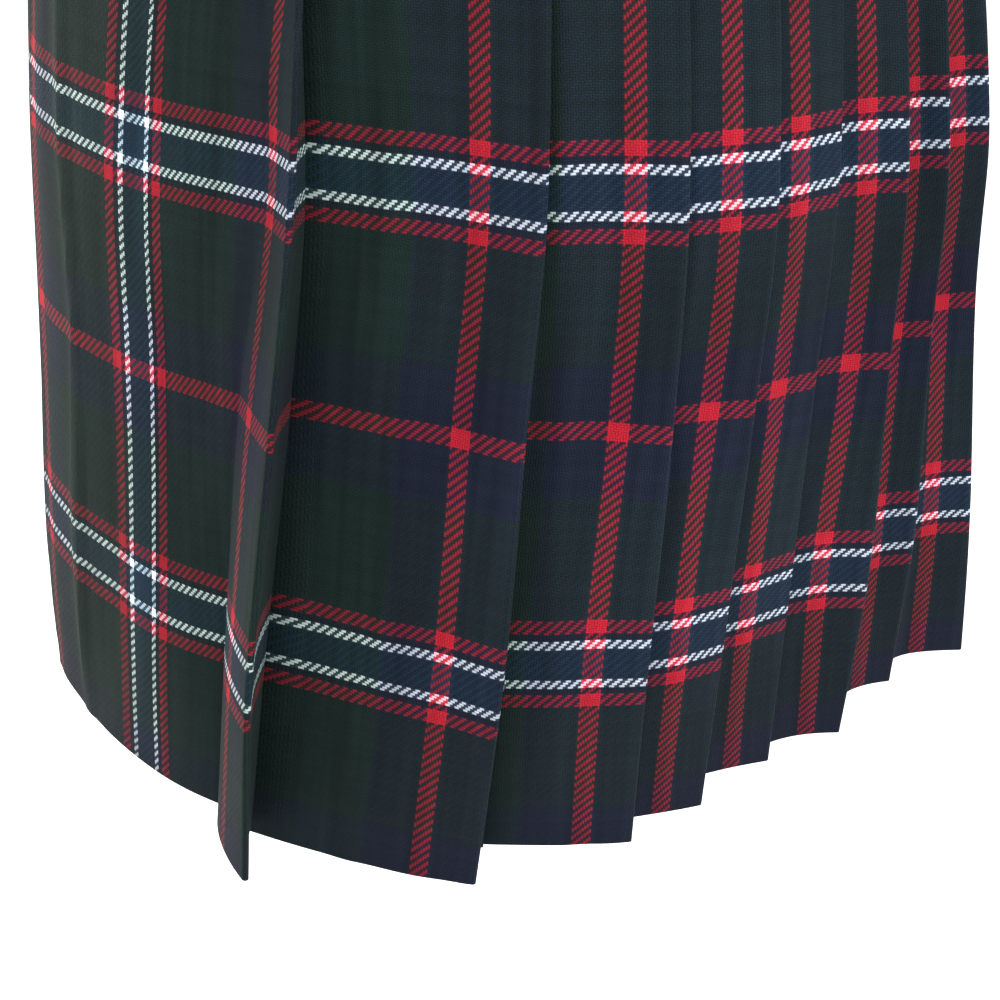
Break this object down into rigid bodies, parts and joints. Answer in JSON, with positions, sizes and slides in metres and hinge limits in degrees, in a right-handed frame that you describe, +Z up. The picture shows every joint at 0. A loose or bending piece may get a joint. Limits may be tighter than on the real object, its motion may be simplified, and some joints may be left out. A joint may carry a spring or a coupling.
{
  "type": "scottish kilt",
  "caption": "Worn pleated wool kilt in a green and navy check with red and white lines, a flat front apron, knife pleats round the back and leather straps.",
  "frame": {"origin": "centre of the waist opening at the level of the waist straps, where the wearer holds the kilt up", "axes": "+Z up, -Y towards the flat front apron, +X towards the wearer's left side"},
  "size_m": [0.4283, 0.4, 0.6103],
  "materials": {
    "tartan_wool": "twill-woven wool in a green and navy check with red and white lines",
    "strap_leather": "black grained leather, semi-matt",
    "buckle_metal": "polished nickel-like metal, lightly worn"
  },
  "bodies": {
    "root": {"over_apron": "tartan_wool", "pleats_left": "tartan_wool", "pleats_back": "tartan_wool", "pleats_right": "tartan_wool", "under_apron": "tartan_wool", "waistband_over": "tartan_wool", "waistband_back": "tartan_wool", "waistband_under": "tartan_wool", "strap_left_waist": "strap_leather", "tab_left_waist": "strap_leather", "buckle_left_waist": "buckle_metal", "prong_left_waist": "buckle_metal", "strap_right_waist": "strap_leather", "tab_right_waist": "strap_leather", "buckle_right_waist": "buckle_metal", "prong_right_waist": "buckle_metal", "strap_right_hip": "strap_leather", "tab_right_hip": "strap_leather", "buckle_right_hip": "buckle_metal", "prong_right_hip": "buckle_metal"}
  },
  "joints": []
}
